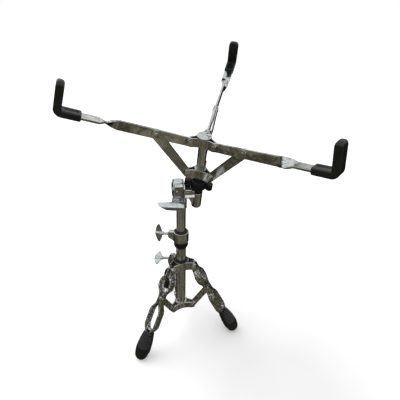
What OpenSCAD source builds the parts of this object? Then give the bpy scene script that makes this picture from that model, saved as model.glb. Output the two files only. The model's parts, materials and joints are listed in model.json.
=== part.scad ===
// Snare drum stand: double-braced folding tripod, telescoping post, brake-drum
// tilter and three-arm basket. +Z is up and z = 0 is the floor. The Z axis is the
// axis of the post. Azimuth 0 is +X and the player stands on the -Y side.

/* [Post] */
// Outside diameter of the lower post tube
base_tube_d = 22.2; // [22:0.1:22.6]
// Outside diameter of the sliding upper post tube
height_tube_d = 20; // [19:0.1:20.2]
// Height of the joint between the post and the clamp casting
clamp_z = 245; // [240:1:250]
// Height of the tilter's hinge above the floor
hinge_z = 366.6; // [360:0.1:380]

/* [Tripod] */
// Distance between the pivots of each brace, and of each leg's upper stretch
link_l = 68; // [64:1:70]
// Angle of the legs from the post as set up
leg_angle = 30.5; // [28:0.5:34]
// Radius at which legs and braces pivot on their brackets
leg_pivot_r = 29; // [28:0.5:31]
// Height of the joint between leg and brace
mid_pivot_z = 123.5; // [122:0.5:125]
// Azimuth of the first leg
leg_azimuth = -132; // [-180:1:180]
// Width of the pressed leg strips
strip_w = 16; // [14:1:16]
// Overall width of each leg's upper loop
upper_loop_w = 32.5; // [30:0.5:34]
// Overall width of each leg's lower loop
lower_loop_w = 30; // [28:0.5:31]

/* [Tilter] */
// Azimuth of the tilter's hinge axis
hinge_azimuth = 9.5; // [-20:0.5:20]
// Forward tilt of the basket as set up
basket_tilt = 18; // [0:1:20]
// Distance of the basket's axis from the post's axis
basket_offset = 34.3; // [33:0.1:36]
// Outside diameter of the tilter's drum housing
drum_housing_d = 42; // [40:1:44]

/* [Basket] */
// Azimuth of the first arm in the basket's frame
arm_azimuth = -176; // [-180:1:180]
// Angle of the arms above the plane of the brackets as set up
arm_angle = 18.5; // [10:0.5:20]
// Radius at which arms and struts pivot on the basket's brackets
arm_pivot_r = 25.7; // [25:0.1:27]
// Reach of each arm from its pivot to the upright end
arm_l = 208.5; // [200:0.5:215]
// Height of the flat arm strip
arm_h = 16.7; // [15:0.1:18]
// Thickness of the flat arm strip
arm_t = 3.6; // [3:0.1:4]
// Distance of the strut's rivet from the arm's pivot
strut_at = 61.4; // [58:0.1:64]
// Length of each strut between its rivets
strut_l = 104.6; // [100:0.1:108]
// Outside diameter of the basket's threaded tube
basket_tube_d = 17; // [16:0.1:18]

/* [Hidden] */
$fn = 48;
run_gap = 0.05;      // radial clearance of a running fit
side_gap = 0.4;      // clearance beside a moving plate
plate_t = 2.2;       // thickness of the pressed bracket plates

// Post
base_tube_wall = 0.9;
base_tube_z = [59.5, clamp_z + 5];
height_tube_wall = 1.5;
height_tube_z = [160, 333];
clamp_h = 23;
clamp_r = 16.7;
clamp_azimuth = 170;
screw_up = 13.5;                      // height of the screw above the clamp's foot
bushing_r = 13.5;

// Tripod
LEGS = [0, 1, 2];
leg_rise = link_l * cos(leg_angle);
collar_pivot_z = mid_pivot_z + leg_rise;
bracket_pivot_z = mid_pivot_z - leg_rise;
strip_t = 1.8;
flange_d = 4.5;
strip_end = 158;
pinch_half = 5.4;                    // half the leg's width where its strips meet
brace_half = pinch_half - strip_t - side_gap;
brace_w = 13;
pin_r = 2.2;
rivet_head_r = 4;
rivet_head_t = 1.2;
loop_steps = 14;
loop_margin = 7;                      // from a pivot to where a loop starts
boot_top = 146;
boot_ball_r = 14.5;
boot_ball_z = 13.7;
boot_ball_at = (collar_pivot_z - boot_ball_z) / cos(leg_angle);
tie_rivet_at = 141;
spacer_r = 3.4;
collar_half = pinch_half + side_gap + plate_t;
collar_z = [collar_pivot_z - 8, collar_pivot_z + 11.5];
bracket_half = brace_half + side_gap + plate_t;
bracket_z = [bracket_pivot_z - 8, bracket_pivot_z + 8];
collar_bush_r = 15.4;

// Tilter: x runs along the hinge axis from the post's axis
drum_r = drum_housing_d / 2;
drum_x = [-15.5, 1];
drum_wall = 5.5;
brake_r = drum_r - drum_wall - 0.5;
head_x = [2, 5];
hinge_bolt_r = 3.5;
head_top = 2.4;                       // the nut's wings pass over the head here
handle_at = [-12, -17, -22];          // hub of the tilter's clamp handle

// Basket: s runs up the basket's axis from the height of the hinge
ARMS = [0, 1, 2];
barrel_r = 10.5;
barrel_s = [-49.6, -9.6];
spider_s = 42.1;
top_s = 109.6;
basket_tube_s = [-24, 119];
thread_s = [-7, 62];
thread_pitch = 2.5;
thread_depth = 0.7;
spider_half = 4.6;
top_half = arm_t / 2 + side_gap + plate_t;
strap_t = 1.8;
strap_w = 16;
twist_at = 122;
twist_l = 28;
rubber_at = 175;
rubber_w = 18.5;
rubber_t = 11;
upright_h = 45;
nut_azimuth = -26;
nut_r = 15.2;
strut_angle = asin(strut_at * cos(arm_angle) / strut_l);

chrome = [0.78, 0.79, 0.8];
black = [0.06, 0.06, 0.06];

// ---------- shared shapes ----------

// Tube between two heights
module tube(r_out, r_in, z) {
    translate([0, 0, z[0]])
        difference() {
            cylinder(h = z[1] - z[0], r = r_out);
            translate([0, 0, -1]) cylinder(h = z[1] - z[0] + 2, r = r_in);
        }
}

// Pin along Y with a head at each end; half is half the stack that it clamps
module rivet(r, half) {
    rotate([90, 0, 0]) cylinder(h = 2 * half, r = r, center = true);
    for (side = [-1, 1])
        translate([0, side * (half + rivet_head_t / 2), 0])
            rotate([90, 0, 0]) cylinder(h = rivet_head_t, r = rivet_head_r, center = true);
}

// One end of a rivet: the head and a stub that stays inside the plate
module rivet_end(r, inner, outer) {
    translate([0, (inner + outer) / 2, 0])
        rotate([90, 0, 0]) cylinder(h = outer - inner, r = r, center = true);
    translate([0, outer + rivet_head_t / 2, 0])
        rotate([90, 0, 0]) cylinder(h = rivet_head_t, r = rivet_head_r, center = true);
}

// Three-lobed plan outline whose lobes blend into each other in round arcs
module lobes(half, reach, d) {
    difference() {
        circle(r = reach, $fn = 96);
        for (i = [0:2])
            rotate(60 + 120 * i)
                translate([d, 0]) circle(r = d * sin(60) - half, $fn = 96);
    }
}

// Pressed bracket: a plate band that wraps a ring and forms three pairs of ears
module ear_bracket(half, ring_r, bore_r, pivot_r, z, pivot_z, ear_r, hole_r) {
    reach = pivot_r + ear_r;
    d = (ring_r - half) / (1 - sin(60));
    difference() {
        translate([0, 0, z[0]])
            linear_extrude(z[1] - z[0])
                difference() {
                    union() {
                        lobes(half, reach, d);
                        circle(r = ring_r, $fn = 96);
                    }
                    difference() {
                        lobes(half - plate_t, reach + 1, d);
                        circle(r = ring_r, $fn = 96);
                    }
                    circle(r = bore_r, $fn = 96);
                }
        for (i = [0:2])
            rotate(120 * i)
                translate([pivot_r, 0, pivot_z]) {
                    difference() {
                        translate([0, -half - 1, -30]) cube([ear_r + 2, 2 * half + 2, 60]);
                        rotate([90, 0, 0]) cylinder(h = 2 * half + 4, r = ear_r, center = true);
                    }
                    rotate([90, 0, 0]) cylinder(h = 2 * half + 4, r = hole_r, center = true);
                    for (side = [-1, 1])
                        translate([0, side * (half + 1 - run_gap), 0])
                            rotate([90, 0, 0])
                                cylinder(h = 2, r = rivet_head_r + run_gap, center = true);
                }
    }
}

// Pointed-oval wing plate with a hub, on a screw that runs towards -X
module wing_screw(shank_l, wing_l, wing_w, wing_t) {
    arc_r = (pow(wing_l / 2, 2) + pow(wing_w / 2, 2)) / wing_w;
    rotate([0, 90, 0]) {
        translate([0, 0, -shank_l]) cylinder(h = shank_l + 1, r = 3);
        cylinder(h = 7, r1 = 4.2, r2 = 5.5);
        translate([0, 0, 7]) cylinder(h = wing_w - 4, r = 5.5);
    }
    translate([wing_w / 2 + 3, wing_t / 2, 0])
        rotate([90, 0, 0])
            linear_extrude(wing_t)
                intersection() {
                    translate([arc_r - wing_w / 2, 0]) circle(r = arc_r, $fn = 120);
                    translate([wing_w / 2 - arc_r, 0]) circle(r = arc_r, $fn = 120);
                }
}

// ---------- post ----------

module base_tube() {
    color(chrome) tube(base_tube_d / 2, base_tube_d / 2 - base_tube_wall, base_tube_z);
}

module brace_bracket() {
    color(chrome)
        rotate(leg_azimuth)
            ear_bracket(bracket_half, 13.8, base_tube_d / 2 + run_gap, leg_pivot_r,
                bracket_z, bracket_pivot_z, 6.8, pin_r + run_gap);
}

module bracket_rivets() {
    color(chrome)
        for (i = LEGS)
            rotate(leg_azimuth + 120 * i)
                translate([leg_pivot_r, 0, bracket_pivot_z]) rivet(pin_r, bracket_half);
}

// Cast clamp with a side lug for the screw and a slit that lets it close
module height_clamp() {
    lug_half = 6.5;
    color(chrome)
        rotate(clamp_azimuth)
            difference() {
                union() {
                    translate([0, 0, clamp_z]) cylinder(h = clamp_h, r = clamp_r, $fn = 96);
                    translate([0, lug_half, clamp_z])
                        rotate([90, 0, 0])
                            linear_extrude(2 * lug_half)
                                polygon([[12, 1], [16, 1], [25, 6], [28, 10], [28, 18],
                                    [26, clamp_h - 1], [12, clamp_h - 1]]);
                }
                translate([0, 0, clamp_z - 1]) cylinder(h = 7, r = base_tube_d / 2 + run_gap);
                translate([0, 0, base_tube_z[1]]) cylinder(h = clamp_h, r = bushing_r + run_gap);
                translate([10, -0.8, clamp_z + 5]) cube([14, 1.6, clamp_h]);
                translate([16, 0, clamp_z + screw_up])
                    rotate([0, 90, 0]) cylinder(h = 14, r = 3 + run_gap);
            }
}

module clamp_bushing() {
    color(black)
        difference() {
            union() {
                tube(bushing_r, height_tube_d / 2 + run_gap, [base_tube_z[1], clamp_z + clamp_h]);
                tube(14.6, height_tube_d / 2 + run_gap, [clamp_z + clamp_h, clamp_z + clamp_h + 1.6]);
            }
            rotate(clamp_azimuth) translate([8, -0.8, clamp_z]) cube([10, 1.6, 40]);
        }
}

module badge_collar() {
    color(black)
        difference() {
            union() {
                translate([0, 0, clamp_z - 16]) cylinder(h = 5, r1 = 13, r2 = 15.4, $fn = 96);
                translate([0, 0, clamp_z - 11]) cylinder(h = 11, r = 15.4, $fn = 96);
            }
            translate([0, 0, clamp_z - 17]) cylinder(h = 18, r = base_tube_d / 2 + run_gap);
        }
}

module height_screw() {
    color(chrome)
        rotate(clamp_azimuth)
            translate([38, 0, clamp_z + screw_up]) wing_screw(17, 46, 15, 4.6);
}

module height_tube() {
    color(chrome) tube(height_tube_d / 2, height_tube_d / 2 - height_tube_wall, height_tube_z);
}

// ---------- tripod ----------

module leg_collar() {
    fin_half = 4.5;
    color(chrome) {
        difference() {
            union() {
                rotate(leg_azimuth)
                    ear_bracket(collar_half, 17, collar_bush_r + run_gap, leg_pivot_r,
                        collar_z, collar_pivot_z, 7.6, pin_r + run_gap);
                rotate(174)
                    translate([0, fin_half, collar_pivot_z])
                        rotate([90, 0, 0])
                            linear_extrude(2 * fin_half)
                                polygon([[16, -2], [24, -2], [27, 6], [27, 17], [21, 25], [16, 25]]);
            }
            rotate(174)
                translate([15, 0, collar_pivot_z + 13])
                    rotate([0, 90, 0]) cylinder(h = 14, r = 3 + run_gap);
        }
    }
}

module collar_bushing() {
    color(black) {
        tube(collar_bush_r, base_tube_d / 2 + run_gap, [collar_z[0] + 1, collar_z[1]]);
        tube(15.9, base_tube_d / 2 + run_gap, [collar_z[1], collar_z[1] + 1.5]);
    }
}

module collar_rivets() {
    color(chrome)
        for (i = LEGS)
            rotate(leg_azimuth + 120 * i)
                translate([leg_pivot_r, 0, collar_pivot_z]) rivet(pin_r, collar_half);
}

module collar_screw() {
    color(chrome)
        rotate(174)
            translate([40, 0, collar_pivot_z + 13])
                rotate([85, 0, 0]) wing_screw(20, 42, 16, 4.6);
}

// Puts a leg's own frame in place: x runs down the leg, y across it
module leg_frame(i) {
    rotate(leg_azimuth + 120 * i)
        translate([leg_pivot_r, 0, collar_pivot_z])
            rotate([0, 90 - leg_angle, 0]) children();
}

// Smooth step from 0 to 1
function ease(t) = (1 - cos(180 * min(1, max(0, t)))) / 2;

// Bulge of a loop between two stations, with ramps at both ends
function bulge(x, from, to, ramp) = ease(min(x - from, to - x) / (ramp * (to - from)));

// Half the leg's width at station x
function leg_half(x) = pinch_half
    + (upper_loop_w / 2 - pinch_half) * bulge(x, loop_margin, link_l - loop_margin, 0.42)
    + (lower_loop_w / 2 - pinch_half) * bulge(x, link_l + loop_margin, 152, 0.3);

// Stations along the leg at which its outline is drawn
STATIONS = concat([-10],
    [for (k = [0:loop_steps]) loop_margin + (link_l - 2 * loop_margin) * k / loop_steps],
    [for (k = [0:loop_steps])
        link_l + loop_margin + (152 - link_l - loop_margin) * k / loop_steps],
    [strip_end]);

// Band of the given depth that follows the leg's outline on the +Y side
module strip_band(inset, depth) {
    n = len(STATIONS);
    polygon(concat(
        [for (x = STATIONS) [x, leg_half(x) - inset]],
        [for (k = [n - 1:-1:0]) [STATIONS[k], leg_half(STATIONS[k]) - inset - depth]]));
}

// Pressed channel strip; side is 1 or -1
module leg_strip(side) {
    flat = 17;
    mirror([0, side < 0 ? 1 : 0, 0])
        difference() {
            intersection() {
                translate([0, 0, -strip_w / 2]) linear_extrude(strip_w) strip_band(0, flange_d);
                union() {
                    rotate([90, 0, 0]) cylinder(h = 60, r = strip_w / 2, center = true);
                    translate([0, -30, -strip_w / 2]) cube([strip_end, 60, strip_w]);
                }
            }
            translate([0, 0, -strip_w / 2 + strip_t])
                linear_extrude(strip_w - 2 * strip_t) strip_band(strip_t, flange_d);
            for (x = [0, link_l])
                translate([x - flat, pinch_half - strip_t - 20, -strip_w])
                    cube([2 * flat, 20, 2 * strip_w]);
            for (x = [0, link_l, tie_rivet_at])
                translate([x, 0, 0])
                    rotate([90, 0, 0]) cylinder(h = 40, r = pin_r + run_gap, center = true);
        }
}

module leg_rivets() {
    translate([link_l, 0, 0])
        for (side = [0, 1])
            mirror([0, side, 0]) rivet_end(pin_r, pinch_half - strip_t, pinch_half + run_gap);
    translate([tie_rivet_at, 0, 0])
        rotate([90, 0, 0]) {
            cylinder(h = 2 * leg_half(tie_rivet_at + pin_r), r = pin_r, center = true);
            cylinder(h = 2 * (leg_half(tie_rivet_at + spacer_r) - strip_t) - 0.2, r = spacer_r,
                center = true);
        }
}

// Rubber boot with a small flat sole on the floor
module leg_foot(i) {
    color(black)
        difference() {
            leg_frame(i)
                rotate([0, 90, 0])
                    rotate_extrude($fn = 96)
                        union() {
                            polygon([[0, boot_top], [11, boot_top], [12.6, boot_top + 3], [15.4, 170],
                                [16.4, 182], [15.9, 190], [boot_ball_r, boot_ball_at],
                                [0, boot_ball_at]]);
                            intersection() {
                                translate([0, boot_ball_at]) circle(r = boot_ball_r, $fn = 96);
                                translate([0, boot_ball_at]) square(20);
                            }
                        }
            translate([-300, -300, -50]) cube([600, 600, 50]);
        }
}

module brace(i) {
    recess = 0.8;
    color(chrome)
        rotate(leg_azimuth + 120 * i)
            translate([leg_pivot_r, 0, bracket_pivot_z])
                rotate([0, leg_angle - 90, 0])
                    difference() {
                        rotate([90, 0, 0])
                            translate([0, 0, -brace_half])
                                linear_extrude(2 * brace_half)
                                    union() {
                                        for (x = [0, link_l]) translate([x, 0]) circle(r = brace_w / 2);
                                        translate([0, -brace_w / 2]) square([link_l, brace_w]);
                                    }
                        for (x = [0, link_l])
                            translate([x, 0, 0])
                                rotate([90, 0, 0])
                                    cylinder(h = 20, r = pin_r + run_gap, center = true);
                        for (side = [-1, 1])
                            translate([10, side * brace_half - recess, -3.5])
                                cube([link_l - 20, 2 * recess, 7]);
                    }
}

// ---------- tilter ----------

// Frame of the hinge: x along its axis, z up
module hinge_frame() {
    translate([0, 0, hinge_z]) rotate(hinge_azimuth) children();
}

module x_cylinder(x, r) {
    translate([x[0], 0, 0]) rotate([0, 90, 0]) cylinder(h = x[1] - x[0], r = r, $fn = 72);
}

// Drum housing on a neck that sockets over the height tube
module tilter_housing() {
    socket_r = 11.8;
    socket_top = -22;
    front_y = -17.6;
    tube_top = height_tube_z[1] - hinge_z;
    color(chrome)
        hinge_frame()
            difference() {
                union() {
                    intersection() {
                        x_cylinder(drum_x, drum_r);
                        translate([-20, front_y, -30]) cube([30, 60, 60]);
                    }
                    translate([0, 0, -42]) cylinder(h = 42 + socket_top, r = socket_r);
                    translate([drum_x[0], -11, -27]) cube([drum_x[1] - drum_x[0], 22, 20]);
                    translate([handle_at[0] - 7, -20, handle_at[2] - 7]) cube([14, 20, 11.5]);
                }
                x_cylinder([drum_x[0] + 3, drum_x[1] + 1], drum_r - drum_wall);
                x_cylinder([drum_x[0] - 1, drum_x[1]], hinge_bolt_r + run_gap);
                translate([0, 0, -50])
                    cylinder(h = 50 + tube_top + 0.4, r = height_tube_d / 2 + run_gap);
                translate([handle_at[0], handle_at[1] - 5, handle_at[2]])
                    rotate([-90, 0, 0]) cylinder(h = 14, r = 3 + run_gap);
                translate([-11, front_y - 1, 4]) rotate([-90, 0, 0]) cylinder(h = 2, r = 2.2);
            }
}

module tilter_cover() {
    color(chrome)
        hinge_frame()
            difference() {
                x_cylinder([drum_x[0] - 2, drum_x[0]], drum_r - 4);
                x_cylinder([drum_x[0] - 3, drum_x[0] + 1], hinge_bolt_r + run_gap);
            }
}

module tilter_bolt() {
    color(chrome)
        hinge_frame()
            difference() {
                union() {
                    x_cylinder([drum_x[0] - 2.5, head_x[1] - 0.5], hinge_bolt_r);
                    x_cylinder([drum_x[0] - 3, drum_x[0] - 2], 5);
                }
                x_cylinder([drum_x[0] - 4, drum_x[0] - 1], 2);
            }
}

// Clamp handle with one long wing, in front of the housing
module tilter_handle() {
    wing_y = -16.5;
    color(chrome)
        hinge_frame()
            translate([handle_at[0], handle_at[1], handle_at[2]]) {
                translate([0, -5, 0]) rotate([-90, 0, 0]) cylinder(h = 13.5, r = 3);
                translate([0, -13, 0]) rotate([-90, 0, 0]) cylinder(h = 9.6, r = 6);
                rotate([0, 8, 0])
                    translate([0, wing_y, 1.5])
                        intersection() {
                            translate([0, 6, 0])
                                rotate([90, 0, 0])
                                    linear_extrude(12)
                                        polygon([[11, 4.5], [12, 0], [10, -5.5], [-8, -8.5], [-22, -7.5],
                                            [-36, -1], [-37.5, 1.5], [-36.5, 3.5], [-20, 5.5], [0, 6.5]]);
                            translate([-45, 0, 0])
                                rotate([90, 0, 90])
                                    linear_extrude(70)
                                        polygon([[-6, -7], [-5.8, -1], [0.5, 7], [6, 7], [6, -9],
                                            [-4, -9]]);
                        }
            }
}

// Frame of the basket: z runs up its axis from the height of the hinge
module basket_frame() {
    hinge_frame() rotate([basket_tilt, 0, 0]) translate([basket_offset, 0, 0]) children();
}

// Flange, cylindrical arm, gusset and the vertical barrel that holds the basket tube
module tilter_head() {
    round_r = 4;
    arm_x = [head_x[0] + 1, basket_offset - barrel_r + 2];
    color(chrome)
        basket_frame()
            difference() {
                union() {
                    translate([-basket_offset, 0, 0]) {
                        x_cylinder(head_x, drum_r - 1);
                        translate([arm_x[0], 0, 0])
                            rotate([90, 0, 90])
                                linear_extrude(arm_x[1] - arm_x[0])
                                    polygon([[-8.5, head_top], [-11.5, -3], [-12, -7], [-16, -10.5],
                                        [-15.5, -13.5], [-4, -18.5], [6, -18.5], [12, -12],
                                        [12, -4], [8.5, head_top]]);
                        translate([0, 6, 0])
                            rotate([90, 0, 0])
                                linear_extrude(12)
                                    polygon([[14, -10], [26, -10], [28, barrel_s[0] + 4],
                                        [24, barrel_s[0] + 9], [14.5, -20]]);
                    }
                    translate([0, 0, barrel_s[0]])
                        rotate_extrude($fn = 72)
                            union() {
                                square([barrel_r - round_r, barrel_s[1] - barrel_s[0]]);
                                translate([0, round_r])
                                    square([barrel_r, barrel_s[1] - barrel_s[0] - round_r]);
                                translate([barrel_r - round_r, round_r]) circle(r = round_r);
                            }
                }
                translate([-basket_offset, 0, 0])
                    x_cylinder([0, head_x[1]], hinge_bolt_r + run_gap);
                translate([0, 0, basket_tube_s[0]])
                    cylinder(h = 60, r = basket_tube_d / 2 + run_gap);
                translate([0, 0, barrel_s[1]]) cylinder(h = 30, r = barrel_r + 0.6);
                translate([0, 0, 0.4]) cylinder(h = 30, r = nut_r + 0.6);
            }
}

// Brake drum that turns inside the housing
module brake_drum() {
    color(chrome)
        hinge_frame()
            difference() {
                x_cylinder([drum_x[0] + 3.5, head_x[0]], brake_r);
                x_cylinder([drum_x[0], head_x[0] + 1], hinge_bolt_r + run_gap);
            }
}

// ---------- basket ----------

// Tube with a turned thread that the nut climbs
module basket_tube() {
    r = basket_tube_d / 2;
    wall = 2;
    turns = floor((thread_s[1] - thread_s[0]) / thread_pitch);
    color(chrome)
        basket_frame()
            rotate_extrude($fn = 72)
                polygon(concat(
                    [[r - wall - thread_depth, basket_tube_s[0]], [r, basket_tube_s[0]]],
                    [for (k = [0:turns - 1], side = [0, 1, 2])
                        [side == 1 ? r - thread_depth : r, thread_s[0] + (k + side * 0.45) * thread_pitch]],
                    [[r, basket_tube_s[1]], [r - wall - thread_depth, basket_tube_s[1]]]));
}

module top_bracket() {
    color(chrome)
        basket_frame()
            rotate(arm_azimuth)
                ear_bracket(top_half, 11.2, basket_tube_d / 2 + run_gap, arm_pivot_r,
                    [top_s - 8.7, top_s + 8.7], top_s, 7.4, pin_r + run_gap);
}

module top_cap() {
    dome_r = 30;
    color(chrome)
        basket_frame()
            translate([0, 0, basket_tube_s[1]])
                intersection() {
                    translate([0, 0, 4.4 - dome_r]) sphere(r = dome_r, $fn = 96);
                    cylinder(h = 6, r = 13.5, $fn = 72);
                }
}

module top_rivets() {
    color(chrome)
        basket_frame()
            for (i = ARMS)
                rotate(arm_azimuth + 120 * i)
                    translate([arm_pivot_r, 0, top_s]) rivet(pin_r, top_half);
}

module lower_spider() {
    color(chrome)
        basket_frame()
            rotate(arm_azimuth)
                ear_bracket(spider_half, 11.6, basket_tube_d / 2 + run_gap, arm_pivot_r,
                    [spider_s - 10, spider_s + 9], spider_s, 7.4, pin_r + run_gap);
}

module spider_rivets() {
    color(chrome)
        basket_frame()
            for (i = ARMS)
                rotate(arm_azimuth + 120 * i)
                    translate([arm_pivot_r, 0, spider_s]) rivet(pin_r, spider_half);
}

// Two-winged hand nut under the spider
module basket_nut() {
    knob_r = 7;
    knob_at = 21.6;
    color(black)
        basket_frame()
            difference() {
                union() {
                    translate([0, 0, -9]) cylinder(h = 12, r = 10);
                    translate([0, 0, 1]) cylinder(h = 3, r1 = 11.5, r2 = nut_r);
                    translate([0, 0, 4]) cylinder(h = 15, r = nut_r, $fn = 72);
                    translate([0, 0, 19]) cylinder(h = 4, r1 = nut_r, r2 = 12.5);
                    translate([0, 0, 23]) cylinder(h = spider_s - 10.4 - 23, r = 12.5);
                    for (k = [0, 1])
                        rotate(nut_azimuth + 180 * k) {
                            translate([knob_at, 0, 3.4]) cylinder(h = 14, r = knob_r);
                            translate([0, -5.5, 5]) cube([knob_at, 11, 11]);
                        }
                }
                translate([0, 0, -10]) cylinder(h = 50, r = basket_tube_d / 2 + run_gap);
            }
}

// Frame of an arm: x runs out along it, z up
module arm_frame(i) {
    basket_frame()
        rotate(arm_azimuth + 120 * i)
            translate([arm_pivot_r, 0, top_s])
                rotate([0, -arm_angle, 0]) children();
}

// Flat strip on edge, a quarter twist, a flat stretch and an upright end
module arm(i) {
    r = arm_h / 2;
    flat_at = twist_at + twist_l;
    color(chrome)
        arm_frame(i)
            difference() {
                union() {
                    rotate([90, 0, 0]) cylinder(h = arm_t, r = r, center = true);
                    translate([0, -arm_t / 2, -r]) cube([twist_at, arm_t, arm_h]);
                    translate([twist_at, 0, 0])
                        rotate([0, 90, 0])
                            linear_extrude(height = twist_l, twist = 90, slices = 14)
                                square([arm_h, arm_t], center = true);
                    translate([flat_at, -r, -arm_t / 2]) cube([arm_l - flat_at, arm_h, arm_t]);
                    translate([arm_l - arm_t, -r, -arm_t / 2]) cube([arm_t, arm_h, upright_h - 4]);
                }
                rotate([90, 0, 0]) cylinder(h = 20, r = pin_r + run_gap, center = true);
            }
}

// Rubber sleeve over the upright end of an arm
module arm_rubber(i) {
    half = rubber_t / 2;
    outer = arm_l - arm_t / 2 + half;
    corner = 5;
    color(black)
        arm_frame(i)
            translate([0, rubber_w / 2, 0])
                rotate([90, 0, 0])
                    linear_extrude(rubber_w)
                        union() {
                            translate([rubber_at, -half]) square([outer - corner - rubber_at, rubber_t]);
                            translate([outer - rubber_t, corner - half])
                                square([rubber_t, upright_h - corner]);
                            translate([outer - corner, corner - half]) circle(r = corner);
                            translate([outer - half, upright_h - half]) circle(r = half);
                        }
}

// Frame of a strut: x runs up along it, y across
module strut_frame(i) {
    basket_frame()
        rotate(arm_azimuth + 120 * i)
            translate([arm_pivot_r, 0, spider_s])
                rotate([0, strut_angle - 90, 0]) children();
}

// Pair of straps, joggled to meet in the spider and to clasp the arm
module strut(i) {
    tip = strap_w / 2;
    low = 0.25;
    mid = 1.25;
    high = arm_t / 2 + side_gap;
    path = [[-tip, low], [0.25 * strut_l, low], [0.32 * strut_l, mid], [0.58 * strut_l, mid],
        [0.65 * strut_l, high], [strut_l + tip, high]];
    color(chrome)
        strut_frame(i)
            for (side = [0, 1])
                mirror([0, side, 0])
                    difference() {
                        intersection() {
                            translate([0, 0, -tip])
                                linear_extrude(strap_w)
                                    polygon(concat(path,
                                        [for (k = [len(path) - 1:-1:0]) path[k] + [0, strap_t]]));
                            union() {
                                for (x = [0, strut_l])
                                    translate([x, 0, 0])
                                        rotate([90, 0, 0]) cylinder(h = 20, r = tip, center = true);
                                translate([0, -10, -tip]) cube([strut_l, 20, strap_w]);
                            }
                        }
                        for (x = [0, strut_l])
                            translate([x, 0, 0])
                                rotate([90, 0, 0]) cylinder(h = 20, r = pin_r + run_gap, center = true);
                    }
}

module strut_rivet(i) {
    inner = arm_t / 2 + side_gap;
    color(chrome)
        strut_frame(i)
            translate([strut_l, 0, 0])
                for (side = [0, 1])
                    mirror([0, side, 0]) rivet_end(pin_r, inner, inner + strap_t + run_gap);
}

base_tube();
brace_bracket();
bracket_rivets();
height_clamp();
clamp_bushing();
badge_collar();
height_screw();
leg_collar();
collar_bushing();
collar_rivets();
collar_screw();
for (i = LEGS) {
    color(chrome) leg_frame(i) leg_strip(1);
    color(chrome) leg_frame(i) leg_strip(-1);
    color(chrome) leg_frame(i) leg_rivets();
    leg_foot(i);
    brace(i);
}
height_tube();
tilter_housing();
tilter_cover();
tilter_bolt();
tilter_handle();
tilter_head();
brake_drum();
basket_tube();
top_bracket();
top_cap();
top_rivets();
lower_spider();
spider_rivets();
basket_nut();
for (i = ARMS) {
    arm(i);
    arm_rubber(i);
    strut(i);
    strut_rivet(i);
}
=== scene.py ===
import json
import math
import bmesh
import bpy
from mathutils import Matrix, Vector


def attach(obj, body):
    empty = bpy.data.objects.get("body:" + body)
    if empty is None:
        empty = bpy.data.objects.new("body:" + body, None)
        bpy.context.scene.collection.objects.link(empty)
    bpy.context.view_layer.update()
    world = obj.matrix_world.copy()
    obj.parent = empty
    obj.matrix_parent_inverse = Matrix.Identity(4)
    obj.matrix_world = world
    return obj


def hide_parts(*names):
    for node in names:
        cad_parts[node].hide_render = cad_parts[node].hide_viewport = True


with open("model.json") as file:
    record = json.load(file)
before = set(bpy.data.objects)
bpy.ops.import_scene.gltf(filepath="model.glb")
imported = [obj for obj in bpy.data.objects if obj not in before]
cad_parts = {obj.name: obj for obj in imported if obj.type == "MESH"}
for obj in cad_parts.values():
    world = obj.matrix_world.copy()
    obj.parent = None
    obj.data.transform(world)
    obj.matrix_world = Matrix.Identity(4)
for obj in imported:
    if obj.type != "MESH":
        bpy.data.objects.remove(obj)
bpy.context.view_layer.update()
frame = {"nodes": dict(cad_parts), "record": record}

# The CAD model's nodes and record, and tables of slots, bodies and joints read from them
NODES = frame["nodes"]
RECORD = frame["record"]
SLOT_OF = {part["node"]: part["material_slot"] for part in RECORD["subparts"]}
BODY_OF = {node: body for body, nodes in RECORD["behaviour"]["bodies"].items() for node in nodes}
JOINTS = {joint["name"]: joint for joint in RECORD["behaviour"]["joints"]}
MM = 0.001

# Sizes of the CAD pieces that the built pieces follow, in millimetres and degrees
ARM_ANGLE = 18.5
BALL_HEIGHT = 13.7

# Bevel widths of castings and mouldings, of small caps and rivet heads, and of pressed plate
CASTING_BEVEL = 1.0 * MM
CAP_BEVEL = 0.55 * MM
PLATE_BEVEL = 0.35 * MM

# Points this close are merged; edges sharper than these angles are bevelled on a CAD node
# and stay sharp on a built piece
WELD_DISTANCE = 0.00001
EDGE_ANGLE = math.radians(33)
SHARP_ANGLE = math.radians(50)

# What is left of the chrome's red, green and blue on worn edges
EDGE_DULLING = (0.82, 0.8, 0.76)


# ---------------------------------------------------------------- materials

def new_material(name):
    """A material whose nodes are cleared, with its tree, its shader and a vector in metres."""
    mat = bpy.data.materials.new(name)
    mat.use_nodes = True
    tree = mat.node_tree
    tree.nodes.clear()
    out = tree.nodes.new("ShaderNodeOutputMaterial")
    shader = tree.nodes.new("ShaderNodeBsdfPrincipled")
    tree.links.new(shader.outputs["BSDF"], out.inputs["Surface"])
    coords = tree.nodes.new("ShaderNodeTexCoord")
    return mat, tree, shader, coords.outputs["Object"]


def stretched(tree, vector, scale):
    """vector scaled along each axis, which draws a texture out."""
    mapping = tree.nodes.new("ShaderNodeMapping")
    mapping.inputs["Scale"].default_value = scale
    tree.links.new(vector, mapping.inputs["Vector"])
    return mapping.outputs["Vector"]


def noise(tree, vector, scale, detail=4.0, roughness=0.55, distortion=0.0):
    """Fractal noise with about scale patches a metre."""
    node = tree.nodes.new("ShaderNodeTexNoise")
    node.inputs["Scale"].default_value = scale
    node.inputs["Detail"].default_value = detail
    node.inputs["Roughness"].default_value = roughness
    node.inputs["Distortion"].default_value = distortion
    tree.links.new(vector, node.inputs["Vector"])
    return node.outputs["Fac"]


def ramp(tree, value, stops):
    """Colour read off a row of (place, colour) stops."""
    node = tree.nodes.new("ShaderNodeValToRGB")
    elements = node.color_ramp.elements
    while len(elements) < len(stops):
        elements.new(0.5)
    for element, (place, colour) in zip(elements, stops):
        element.position = place
        element.color = (*colour, 1.0)
    tree.links.new(value, node.inputs["Fac"])
    return node.outputs["Color"]


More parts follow.
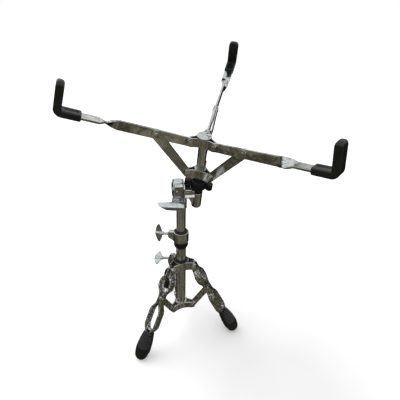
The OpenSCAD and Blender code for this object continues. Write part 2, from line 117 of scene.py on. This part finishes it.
def span(tree, value, low, high, from_low=0.3, from_high=0.7):
    """value carried from one range to another, clamped."""
    node = tree.nodes.new("ShaderNodeMapRange")
    node.inputs["From Min"].default_value = from_low
    node.inputs["From Max"].default_value = from_high
    node.inputs["To Min"].default_value = low
    node.inputs["To Max"].default_value = high
    tree.links.new(value, node.inputs["Value"])
    return node.outputs["Result"]


def bump(tree, height, distance, under=None):
    """Normal raised by up to distance, in metres, on top of the one under it."""
    node = tree.nodes.new("ShaderNodeBump")
    node.inputs["Distance"].default_value = distance
    node.inputs["Strength"].default_value = 1.0
    tree.links.new(height, node.inputs["Height"])
    if under is not None:
        tree.links.new(under, node.inputs["Normal"])
    return node.outputs["Normal"]


def multiplied(tree, first, second, factor=None):
    """Product of two colours, blended in by factor."""
    node = tree.nodes.new("ShaderNodeMix")
    node.data_type = "RGBA"
    node.blend_type = "MULTIPLY"
    tree.links.new(first, node.inputs["A"])
    tree.links.new(second, node.inputs["B"])
    if factor is None:
        node.inputs["Factor"].default_value = 1.0
    else:
        tree.links.new(factor, node.inputs["Factor"])
    return node.outputs["Result"]


def chrome(name, tint, dark, rough, wave_scale, wave_depth, grain_scale, grain_depth, stretch=(1, 1, 1),
           haze_scale=55):
    """Chrome plate: wavy plating, fine grain, haze patches, and dull worn edges."""
    mat, tree, shader, vector = new_material(name)
    haze = noise(tree, vector, haze_scale, detail=5, roughness=0.6)
    colour = ramp(tree, haze, [(0.4, dark), (0.58, tint)])
    geometry = tree.nodes.new("ShaderNodeNewGeometry")
    worn = span(tree, geometry.outputs["Pointiness"], 0.0, 1.0, from_low=0.53, from_high=0.6)
    mix = tree.nodes.new("ShaderNodeMix")
    mix.data_type = "RGBA"
    mix.inputs["B"].default_value = (*(t * d for t, d in zip(tint, EDGE_DULLING)), 1)
    tree.links.new(worn, mix.inputs["Factor"])
    tree.links.new(colour, mix.inputs["A"])
    tree.links.new(mix.outputs["Result"], shader.inputs["Base Color"])
    scuffs = noise(tree, stretched(tree, vector, (1, 1, 0.25)), 240, detail=6, roughness=0.7)
    tree.links.new(span(tree, scuffs, rough, rough + 0.16, from_low=0.5, from_high=0.85),
                   shader.inputs["Roughness"])
    waves = bump(tree, noise(tree, vector, wave_scale, detail=2, roughness=0.4), wave_depth)
    grain = noise(tree, stretched(tree, vector, stretch), grain_scale, detail=3, roughness=0.5)
    tree.links.new(bump(tree, grain, grain_depth, under=waves), shader.inputs["Normal"])
    shader.inputs["Metallic"].default_value = 1.0
    return mat


def rubber(name, colour, dusty, rough, shine, grain_scale, grain_depth, coat=0.0):
    """Moulded rubber or nylon: fine skin texture, dusty patches; shine is the specular level."""
    mat, tree, shader, vector = new_material(name)
    patches = noise(tree, vector, 38, detail=5, roughness=0.62)
    tree.links.new(ramp(tree, patches, [(0.42, colour), (0.75, dusty)]), shader.inputs["Base Color"])
    tree.links.new(span(tree, noise(tree, vector, 150, detail=4), rough - 0.08, rough + 0.12),
                   shader.inputs["Roughness"])
    skin = bump(tree, noise(tree, vector, grain_scale, detail=3, roughness=0.7), grain_depth)
    soft = bump(tree, noise(tree, vector, 90, detail=2), 0.0003, under=skin)
    tree.links.new(soft, shader.inputs["Normal"])
    shader.inputs["Specular IOR Level"].default_value = shine
    shader.inputs["Coat Weight"].default_value = coat
    shader.inputs["Coat Roughness"].default_value = 0.35
    return mat


MATERIALS = {
    "chromed_tube": chrome(
        "chromed_tube", tint=(0.72, 0.72, 0.72), dark=(0.56, 0.56, 0.55), rough=0.05,
        wave_scale=26, wave_depth=0.0005, grain_scale=900, grain_depth=0.00001, stretch=(1, 1, 0.05)),
    "chromed_strip": chrome(
        "chromed_strip", tint=(0.7, 0.7, 0.69), dark=(0.52, 0.51, 0.49), rough=0.08,
        wave_scale=45, wave_depth=0.0005, grain_scale=700, grain_depth=0.00002),
    "rippled_strip": chrome(
        "rippled_strip", tint=(0.9, 0.89, 0.86), dark=(0.1, 0.098, 0.09), rough=0.1,
        wave_scale=300, wave_depth=0.0013, grain_scale=1100, grain_depth=0.00004, haze_scale=340),
    "arm_strip": chrome(
        "arm_strip", tint=(0.76, 0.76, 0.75), dark=(0.6, 0.59, 0.57), rough=0.08,
        wave_scale=60, wave_depth=0.0006, grain_scale=700, grain_depth=0.00002, haze_scale=90),
    "chromed_casting": chrome(
        "chromed_casting", tint=(0.74, 0.76, 0.77), dark=(0.56, 0.57, 0.57), rough=0.09,
        wave_scale=50, wave_depth=0.0006, grain_scale=500, grain_depth=0.00003),
    "rivet_steel": chrome(
        "rivet_steel", tint=(0.95, 0.94, 0.91), dark=(0.5, 0.48, 0.44), rough=0.16,
        wave_scale=300, wave_depth=0.0006, grain_scale=1500, grain_depth=0.00002),
    "plain_steel": chrome(
        "plain_steel", tint=(0.4, 0.39, 0.38), dark=(0.25, 0.24, 0.23), rough=0.3,
        wave_scale=50, wave_depth=0.0003, grain_scale=900, grain_depth=0.00004, stretch=(0.05, 1, 1)),
    "rubber": rubber(
        "rubber", colour=(0.003, 0.0032, 0.003), dusty=(0.005, 0.0052, 0.0048), rough=0.28,
        shine=0.6, grain_scale=1300, grain_depth=0.00006),
    "black_plastic": rubber(
        "black_plastic", colour=(0.003, 0.0032, 0.0034), dusty=(0.004, 0.0043, 0.0046), rough=0.4,
        shine=0.25, grain_scale=1900, grain_depth=0.00003, coat=0.06),
}


def dress(obj, slot, bevel):
    """Material, rounded edges and smooth shading on a CAD node."""
    mesh = obj.data
    mesh.materials.clear()
    mesh.materials.append(MATERIALS[slot])
    if "custom_normal" in mesh.attributes:
        mesh.attributes.remove(mesh.attributes["custom_normal"])
    for polygon in mesh.polygons:
        polygon.use_smooth = True
        polygon.material_index = 0
    weld = obj.modifiers.new("weld", "WELD")
    weld.merge_threshold = WELD_DISTANCE
    edges = obj.modifiers.new("edges", "BEVEL")
    edges.width = bevel
    edges.segments = 3
    edges.limit_method = "ANGLE"
    edges.angle_limit = EDGE_ANGLE
    edges.use_clamp_overlap = False
    normals = obj.modifiers.new("normals", "WEIGHTED_NORMAL")
    normals.keep_sharp = False


def bevel_for(node):
    """Width of a node's rounded edges."""
    if node in ("tilter_housing", "tilter_head", "height_clamp", "basket_nut", "tilter_handle"):
        return CASTING_BEVEL
    if node in ("badge_collar", "top_cap", "tilter_cover") or "rivet" in node:
        return CAP_BEVEL
    return PLATE_BEVEL


def look_of(node):
    """Finish that a node takes: its slot's own, but rippled legs and braces and smooth arms."""
    if "_strip_" in node or node in ("brace_1", "brace_2", "brace_3"):
        return "rippled_strip"
    if node in ("arm_1", "arm_2", "arm_3"):
        return "arm_strip"
    return SLOT_OF[node]


for node_name, node_object in NODES.items():
    dress(node_object, look_of(node_name), bevel_for(node_name))


# ---------------------------------------------------------------- detailed pieces

def ring_mesh(name, rings, slot, matrix):
    """Smooth closed mesh through rings of points, given in the frame of matrix, in metres."""
    bm = bmesh.new()
    loops = [[bm.verts.new(matrix @ Vector(point)) for point in ring] for ring in rings]
    for first, second in zip(loops, loops[1:]):
        for k in range(len(first)):
            after = (k + 1) % len(first)
            bm.faces.new((first[k], first[after], second[after], second[k]))
    bm.faces.new(reversed(loops[0]))
    bm.faces.new(loops[-1])
    bmesh.ops.recalc_face_normals(bm, faces=bm.faces)
    for face in bm.faces:
        face.smooth = True
    mesh = bpy.data.meshes.new(name)
    bm.to_mesh(mesh)
    bm.free()
    mesh.set_sharp_from_angle(angle=SHARP_ANGLE)
    mesh.materials.append(MATERIALS[slot])
    piece = bpy.data.objects.new(name, mesh)
    bpy.context.scene.collection.objects.link(piece)
    return piece


def stand_for(piece, node):
    """The piece takes the node's place and body."""
    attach(piece, BODY_OF[node])
    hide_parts(node)


def axes_at(origin, x_axis, y_axis):
    """Matrix of a frame with this origin and these unit axes."""
    z_axis = x_axis.cross(y_axis).normalized()
    axes = Matrix((x_axis, y_axis, z_axis)).transposed()
    return Matrix.Translation(origin) @ axes.to_4x4()


def leg_matrix(i):
    """x runs down leg i from its pivot, y across it."""
    joint = JOINTS[f"leg_{i}_pivot"]
    pivot = Vector(joint["pos_m"])
    sole = Vector(next(m["pos_m"] for m in RECORD["mounts"] if m["name"] == f"sole_{i}"))
    ball = sole + Vector((0, 0, BALL_HEIGHT * MM))
    return axes_at(pivot, (ball - pivot).normalized(), Vector(joint["axis"]))


def arm_matrix(i):
    """x runs out along arm i from its pivot, y across it."""
    joint = JOINTS[f"arm_{i}_pivot"]
    across = -Vector(joint["axis"])
    stem = Vector(JOINTS["spider_slide"]["axis"])
    angle = math.radians(ARM_ANGLE)
    along = across.cross(stem) * math.cos(angle) + stem * math.sin(angle)
    return axes_at(Vector(joint["pos_m"]), along.normalized(), across)


def turned_rings(profile, sides):
    """Rings about x through the profile's (x, radius) points, given in millimetres."""
    turns = [2 * math.pi * k / sides for k in range(sides)]
    return [[(MM * x, MM * r * math.cos(a), MM * r * math.sin(a)) for a in turns] for x, r in profile]


def boot(i):
    """Ribbed rubber boot: narrow mouth, wide rounded end with a flat sole."""
    profile = [(146.0, 9.8), (146.3, 10.7), (147.2, 11.4), (149.0, 12.3)]
    ribs, rib_depth, first, last = 7, 1.3, 150.0, 178.0
    neck_r, spread = 12.4, 3.6
    steps = ribs * 8
    for k in range(steps + 1):
        x = first + (last - first) * k / steps
        swell = neck_r + spread * math.sin(math.pi / 2 * (x - first) / (last - first))
        profile.append((x, swell - rib_depth * math.sin(math.pi * ribs * k / steps) ** 2))
    profile += [(181.0, 16.25), (185.0, 16.3), (190.0, 15.85)]
    ball_x, ball_r = 195.4, 14.45
    for k in range(15):
        turn = math.radians(89 * k / 14)
        profile.append((ball_x + ball_r * math.sin(turn), ball_r * math.cos(turn)))
    piece = ring_mesh(f"boot_{i}", turned_rings(profile, 72), "rubber", leg_matrix(i))
    for vertex in piece.data.vertices:
        vertex.co.z = max(vertex.co.z, 0.0)
    stand_for(piece, f"leg_{i}_foot")


def sleeve_section(scale, groove):
    """Rounded rectangle, 18.4 by 10.9 mm, with a groove in its inner face: (across, inwards)."""
    half_w, half_t, r = 9.2 * scale, 5.45 * scale, 2.4
    groove_half = 3.9
    points = [(u * scale, half_t - (groove if abs(u) < groove_half else 0))
              for u in (-5.6, -4.4, -3.6, -1.5, 1.5, 3.6, 4.4, 5.6)]
    corners = [(half_w - r, half_t - r, 90), (half_w - r, r - half_t, 0),
               (r - half_w, r - half_t, -90), (r - half_w, half_t - r, 180)]
    for number, (cu, cv, start) in enumerate(corners):
        for k in range(7):
            turn = math.radians(start - 15 * k)
            points.append((cu + r * math.cos(turn), cv + r * math.sin(turn)))
        if number == 1:
            points += [(3.5 * scale, -half_t), (0, -half_t), (-3.5 * scale, -half_t)]
    return points


def sleeve(i):
    """L-shaped rubber sleeve with a chamfered mouth, a grooved seat and a rounded top."""
    bend, corner_x, dome, top = 5.9, 206.7, 37, 44.9
    path = [(175.1, 0, 0, 0.84, 0), (175.8, 0, 0, 0.93, 0), (177.0, 0, 0, 1, 0), (179.0, 0, 0, 1, 0),
            (179.8, 0, 0, 1, 1.2), (188.0, 0, 0, 1, 1.2), (196.8, 0, 0, 1, 1.2), (197.6, 0, 0, 1, 0),
            (199.0, 0, 0, 1, 0)]
    for k in range(1, 9):
        turn = math.radians(90 * k / 9)
        path.append((corner_x - bend + bend * math.sin(turn), bend - bend * math.cos(turn),
                     90 * k / 9, 1, 0))
    path += [(corner_x, z, 90, 1, 0) for z in (7, 10, 16, 22, 28, 33, dome)]
    for k in range(1, 11):
        turn = math.radians(8.4 * k)
        path.append((corner_x, dome + (top - dome) * math.sin(turn), 90,
                     0.35 + 0.65 * math.cos(turn), 0))
    rings = []
    for x, z, heading, scale, groove in path:
        inward = Vector((-math.sin(math.radians(heading)), 0, math.cos(math.radians(heading))))
        rings.append([Vector((x, 0, z)) * MM + Vector((0, u, 0)) * MM + inward * v * MM
                      for u, v in sleeve_section(scale, groove)])
    piece = ring_mesh(f"sleeve_{i}", rings, "rubber", arm_matrix(i))
    stand_for(piece, f"arm_{i}_rubber")


def wing_screw(node, joint_name, lean, length, width, shank):
    """Cast wing screw: dished leaf, waisted hub and shank along the joint's axis."""
    joint = JOINTS[joint_name]
    axis = Vector(joint["axis"]).normalized()
    side = Vector((0, 0, 1)).cross(axis)
    turned = Matrix.Rotation(math.radians(lean), 3, axis)
    matrix = axes_at(Vector(joint["pos_m"]), axis, turned @ side)
    sides = 40
    centre = width / 2 + 3
    tip, steps = 0.985, 32
    half_thickness, taper = 2.2, 0.5
    dish_depth, dish_at, dish_width = 0.9, 0.5, 0.22
    leaf = []
    for k in range(steps + 1):
        t = -tip + 2 * tip * k / steps
        half = width / 2 * (1 - abs(t) ** 1.9) ** 0.8 + 0.35
        dish = dish_depth * math.exp(-((abs(t) - dish_at) / dish_width) ** 2)
        thick = half_thickness - dish - taper * abs(t)
        leaf.append([(MM * (centre + half * math.cos(a)), MM * thick * math.sin(a), MM * t * length / 2)
                     for a in (2 * math.pi * n / sides for n in range(sides))])
    hub = [(-shank, 2.4), (-shank + 0.6, 3.0), (-0.5, 3.0), (0.2, 3.9), (1.0, 4.4), (4.0, 4.5), (7.0, 5.2),
           (9.0, 5.5), (width + 0.5, 5.5), (width + 2.2, 4.9), (width + 2.9, 3.6)]
    for part, rings in (("leaf", leaf), ("hub", turned_rings(hub, sides))):
        piece = ring_mesh(f"{node}_{part}", rings, "chromed_casting", matrix)
        stand_for(piece, node)


for number in (1, 2, 3):
    boot(number)
    sleeve(number)
wing_screw("height_screw", "height_screw_turn", lean=0, length=46, width=15, shank=17)
wing_screw("collar_screw", "collar_screw_turn", lean=85, length=42, width=16, shank=20)


# ---------------------------------------------------------------- stage

FLOOR_SIDE = 60.0
# Centre of the floor's painted shadow, where the floor's painted glow is weakest
PAINTED_SHADOW_SPOT = (0.2, -0.2, 0.0)

# Brightness of the plain surroundings: as they light the stand, and as the camera sees them
LIGHT_LEVEL = 0.83
BACKDROP_LEVEL = 1.0


def plain_floor():
    """Pale floor with a painted glow that brightens it into the white of the studio away from a painted
    shadow at the front right.
    """
    mat, tree, shader, vector = new_material("pale_floor")
    tone = ramp(tree, noise(tree, vector, 6, detail=5),
                [(0.3, (0.86, 0.86, 0.86)), (0.7, (0.89, 0.89, 0.885))])
    tree.links.new(tone, shader.inputs["Base Color"])
    shader.inputs["Roughness"].default_value = 0.9
    shader.inputs["Emission Color"].default_value = (1, 1, 1, 1)
    distance = tree.nodes.new("ShaderNodeVectorMath")
    distance.operation = "DISTANCE"
    distance.inputs[1].default_value = PAINTED_SHADOW_SPOT
    tree.links.new(vector, distance.inputs[0])
    # Painted glow: the floor emits light that grows with distance from the spot, leaving a painted shadow
    # around it
    painted_glow = span(tree, distance.outputs["Value"], 0.0, 0.5, from_low=0.1, from_high=0.65)
    tree.links.new(painted_glow, shader.inputs["Emission Strength"])
    shader.inputs["Specular IOR Level"].default_value = 0.1
    half = FLOOR_SIDE / 2
    mesh = bpy.data.meshes.new("floor")
    corners = [(-half, -half, 0), (half, -half, 0), (half, half, 0), (-half, half, 0)]
    mesh.from_pydata(corners, [], [(0, 1, 2, 3)])
    floor = bpy.data.objects.new("floor", mesh)
    bpy.context.scene.collection.objects.link(floor)
    mesh.materials.append(mat)
    floor.visible_glossy = False


def studio_world():
    """Plain white for the camera and the light; in the chrome, a room with a brown floor, dark
    behind the stand, and dark patches in a white ceiling."""
    world = bpy.data.worlds.new("studio")
    bpy.context.scene.world = world
    world.use_nodes = True
    tree = world.node_tree
    tree.nodes.clear()
    coords = tree.nodes.new("ShaderNodeTexCoord")
    split = tree.nodes.new("ShaderNodeSeparateXYZ")
    tree.links.new(coords.outputs["Generated"], split.inputs["Vector"])
    height = span(tree, split.outputs["Z"], 0.0, 1.0, from_low=-1.0, from_high=1.0)
    rise = ramp(tree, height, [(0.0, (0.109, 0.104, 0.077)), (0.42, (0.132, 0.129, 0.096)),
                               (0.49, (0.035, 0.035, 0.033)), (0.54, (0.045, 0.045, 0.045)),
                               (0.6, (0.75, 0.79, 0.8)), (0.75, (1.0, 1.0, 1.0)),
                               (0.88, (0.76, 0.81, 0.81))])
    weave = noise(tree, coords.outputs["Generated"], 34, detail=6, roughness=0.75, distortion=0.6)
    mottle = ramp(tree, weave, [(0.34, (0.42, 0.41, 0.4)), (0.62, (1.5, 1.45, 1.38))])
    objects = ramp(tree, noise(tree, coords.outputs["Generated"], 6.5, detail=3, roughness=0.5),
                   [(0.4, (0.45, 0.45, 0.45)), (0.5, (1.0, 1.0, 1.0)), (0.6, (1.65, 1.65, 1.65))])
    below = span(tree, split.outputs["Z"], 1.0, 0.0, from_low=-0.02, from_high=0.12)
    colour = multiplied(tree, rise, multiplied(tree, mottle, objects), below)
    behind = ramp(tree, span(tree, split.outputs["Y"], 0.0, 1.0, from_low=-0.05, from_high=0.5),
                  [(0.0, (1, 1, 1)), (0.5, (0.3, 0.3, 0.29)), (1.0, (0.04, 0.04, 0.04))])
    colour = multiplied(tree, colour, behind, below)
    fixtures = ramp(tree, noise(tree, coords.outputs["Generated"], 3.4, detail=3, roughness=0.5),
                    [(0.36, (0.1, 0.11, 0.11)), (0.46, (1, 1, 1))])
    above = span(tree, split.outputs["Z"], 0.0, 1.0, from_low=0.05, from_high=0.2)
    room = tree.nodes.new("ShaderNodeBackground")
    tree.links.new(multiplied(tree, colour, fixtures, above), room.inputs["Color"])
    path = tree.nodes.new("ShaderNodeLightPath")
    surface = room.outputs["Background"]
    for rays, level in (("Is Diffuse Ray", LIGHT_LEVEL), ("Is Camera Ray", BACKDROP_LEVEL)):
        plain = tree.nodes.new("ShaderNodeBackground")
        plain.inputs["Color"].default_value = (level, level, level, 1)
        choose = tree.nodes.new("ShaderNodeMixShader")
        tree.links.new(path.outputs[rays], choose.inputs["Fac"])
        tree.links.new(surface, choose.inputs[1])
        tree.links.new(plain.outputs["Background"], choose.inputs[2])
        surface = choose.outputs["Shader"]
    out = tree.nodes.new("ShaderNodeOutputWorld")
    tree.links.new(surface, out.inputs["Surface"])


def soft_light(name, place, target, size, power):
    """Large round lamp that shapes the shadows; the chrome mirrors the room instead."""
    light = bpy.data.lights.new(name, "AREA")
    light.shape = "DISK"
    light.size = size
    light.energy = power
    lamp = bpy.data.objects.new(name, light)
    lamp.location = place
    lamp.rotation_euler = (Vector(target) - Vector(place)).to_track_quat("-Z", "Y").to_euler()
    lamp.visible_glossy = False
    bpy.context.scene.collection.objects.link(lamp)


def photo_camera():
    """Camera at the photograph's viewing angle, in front and above, fitted to the stand's pivots."""
    place = Vector((0.0, -0.5252, 0.6004))
    yaw, pitch, roll = (math.radians(a) for a in (4.16, -26.14, 2.0))
    forward = Vector((math.sin(yaw) * math.cos(pitch), math.cos(yaw) * math.cos(pitch), math.sin(pitch)))
    right = forward.cross(Vector((0, 0, 1))).normalized()
    up = right.cross(forward)
    tilted_right = right * math.cos(roll) + up * math.sin(roll)
    tilted_up = up * math.cos(roll) - right * math.sin(roll)
    data = bpy.data.cameras.new("camera")
    data.lens = 26.01
    data.sensor_width = 36.0
    data.clip_start = 0.02
    camera = bpy.data.objects.new("camera", data)
    bpy.context.scene.collection.objects.link(camera)
    axes = Matrix((tilted_right, tilted_up, -forward)).transposed()
    camera.matrix_world = Matrix.Translation(place) @ axes.to_4x4()
    bpy.context.scene.camera = camera


plain_floor()
studio_world()
photo_camera()
soft_light("key", place=(-1.0, 0.35, 1.25), target=(-0.1, 0, 0.1), size=1.6, power=12)
soft_light("fill", place=(1.2, -1.4, 2.0), target=(0, 0, 0.35), size=1.4, power=6)
bpy.context.scene.view_settings.view_transform = "Standard"
bpy.context.scene.view_settings.look = "None"
